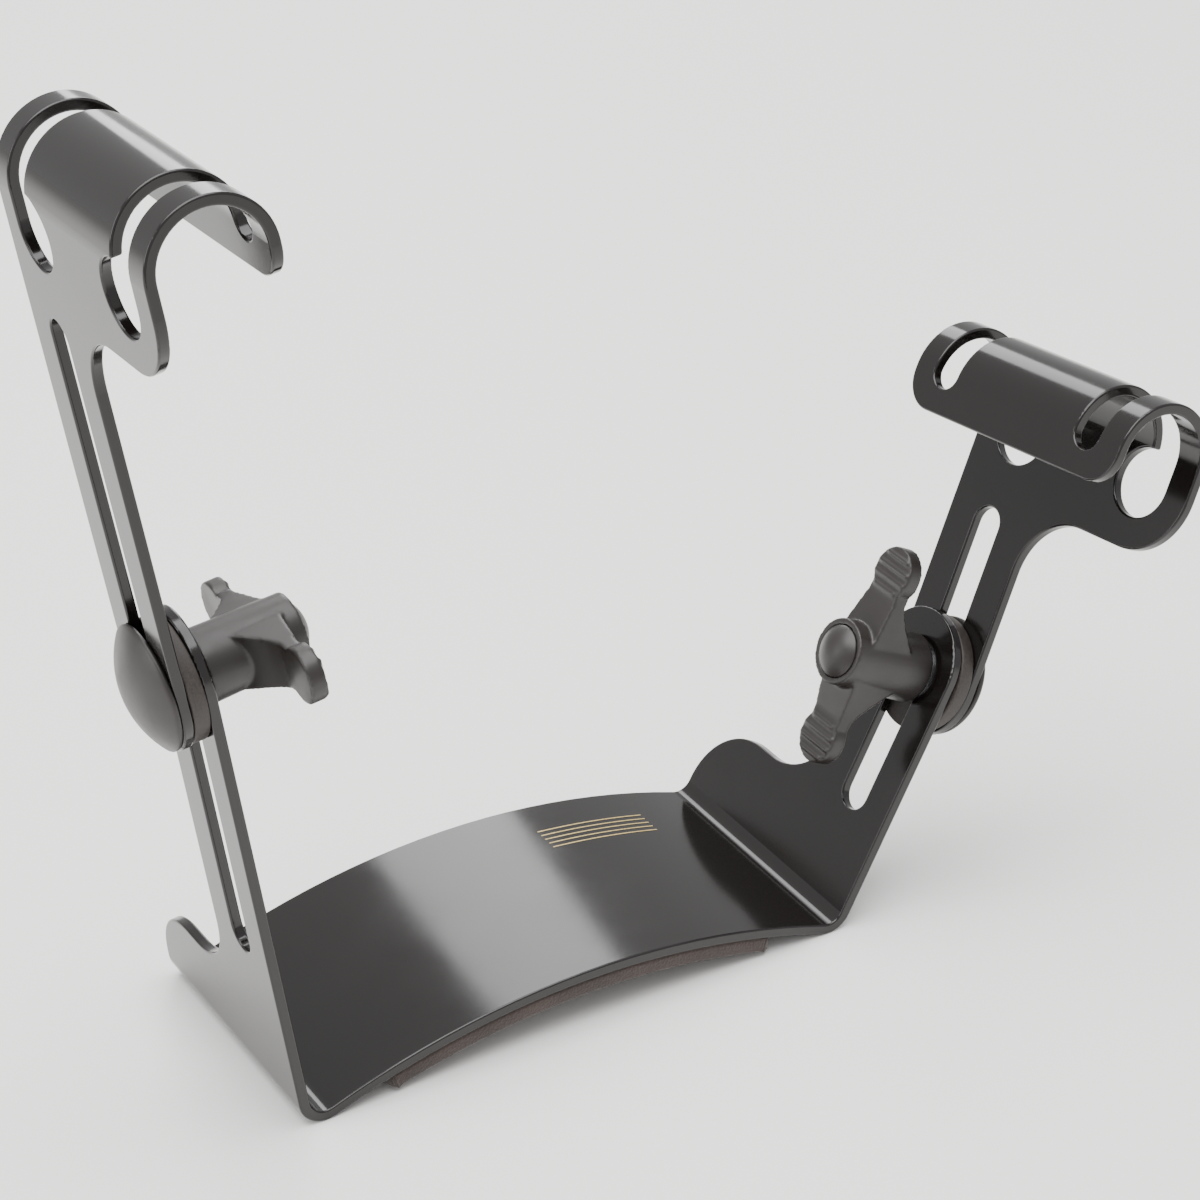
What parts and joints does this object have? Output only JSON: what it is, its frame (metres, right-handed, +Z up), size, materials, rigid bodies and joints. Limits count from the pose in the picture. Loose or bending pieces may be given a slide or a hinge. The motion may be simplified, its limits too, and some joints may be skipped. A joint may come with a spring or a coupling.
{
  "type": "guitar leg support",
  "caption": "Bent steel saddle with a foam pad and slotted uprights, each clamping an adjustable arm with a rolled, keyholed head, to hold a guitar on the thigh.",
  "frame": {"origin": "highest line of the saddle's upper face, at the middle of the plate's width", "axes": "+X across the player's thigh, from the tall side to the short side; +Y along the thigh, from the edge that both uprights are flush with to the other; +Z up"},
  "size_m": [0.2895, 0.1236, 0.2824],
  "materials": {
    "painted_steel": "gloss black baked enamel",
    "zinc_steel": "bright zinc plate",
    "satin_plastic": "satin black moulded nylon",
    "friction_plastic": "matt black",
    "foam": "closed-cell foam, matt",
    "adhesive_film": "double-sided film",
    "brass": "plain"
  },
  "bodies": {
    "base": {"base_plate": "painted_steel", "pad_adhesive": "adhesive_film", "thigh_pad": "foam"},
    "right_carriage": {"right_spacer_disc": "friction_plastic"},
    "right_swivel": {"right_bolt": "zinc_steel", "right_bolt_cap": "satin_plastic"},
    "right_arm": {"right_arm": "painted_steel"},
    "right_washer": {"right_washer": "zinc_steel"},
    "right_knob": {"right_knob": "satin_plastic", "right_knob_insert": "brass", "right_knob_cap": "satin_plastic"},
    "left_carriage": {"left_spacer_disc": "friction_plastic"},
    "left_swivel": {"left_bolt": "zinc_steel", "left_bolt_cap": "satin_plastic"},
    "left_arm": {"left_arm": "painted_steel"},
    "left_washer": {"left_washer": "zinc_steel"},
    "left_knob": {"left_knob": "satin_plastic", "left_knob_insert": "brass", "left_knob_cap": "satin_plastic"}
  },
  "joints": [
    {"name": "right_height", "type": "slide", "parent": "base", "child": "right_carriage", "axis": [0.4818, 0, 0.8763], "range_m": [-0.036, 0]},
    {"name": "right_tilt", "type": "hinge", "parent": "right_carriage", "child": "right_swivel", "pos_m": [0.11826, -0.0246, 0.04605], "axis": [0.8763, 0, -0.4818], "range_deg": [-35, 35]},
    {"name": "right_reach", "type": "slide", "parent": "right_swivel", "child": "right_arm", "axis": [0.4781, 0.1236, 0.8696], "range_m": [-0.031, 0]},
    {"name": "right_clamp_travel", "type": "slide", "parent": "right_carriage", "child": "right_washer", "axis": [-0.8763, 0, 0.4818], "range_m": [0, 0.00376]},
    {"name": "right_knob_turn", "type": "hinge", "parent": "right_washer", "child": "right_knob", "pos_m": [0.10074, -0.0246, 0.05569], "axis": [-0.8763, 0, 0.4818], "range_deg": [0, 1080]},
    {"name": "left_height", "type": "slide", "parent": "base", "child": "left_carriage", "axis": [-0.1201, 0, 0.9928], "range_m": [-0.06, 0]},
    {"name": "left_tilt", "type": "hinge", "parent": "left_carriage", "child": "left_swivel", "pos_m": [-0.10183, -0.0246, 0.11661], "axis": [-0.9928, 0, -0.1201], "range_deg": [-35, 35]},
    {"name": "left_reach", "type": "slide", "parent": "left_swivel", "child": "left_arm", "axis": [-0.1198, 0.0698, 0.9903], "range_m": [-0.056, 0]},
    {"name": "left_clamp_travel", "type": "slide", "parent": "left_carriage", "child": "left_washer", "axis": [0.9928, 0, 0.1201], "range_m": [0, 0.00376]},
    {"name": "left_knob_turn", "type": "hinge", "parent": "left_washer", "child": "left_knob", "pos_m": [-0.08198, -0.0246, 0.11901], "axis": [0.9928, 0, 0.1201], "range_deg": [0, 1080]}
  ],
  "couplings": [
    {"joint": "right_clamp_travel", "follows": "right_knob_turn", "m_per_rad": 0.00019894},
    {"joint": "left_clamp_travel", "follows": "left_knob_turn", "m_per_rad": 0.00019894}
  ]
}
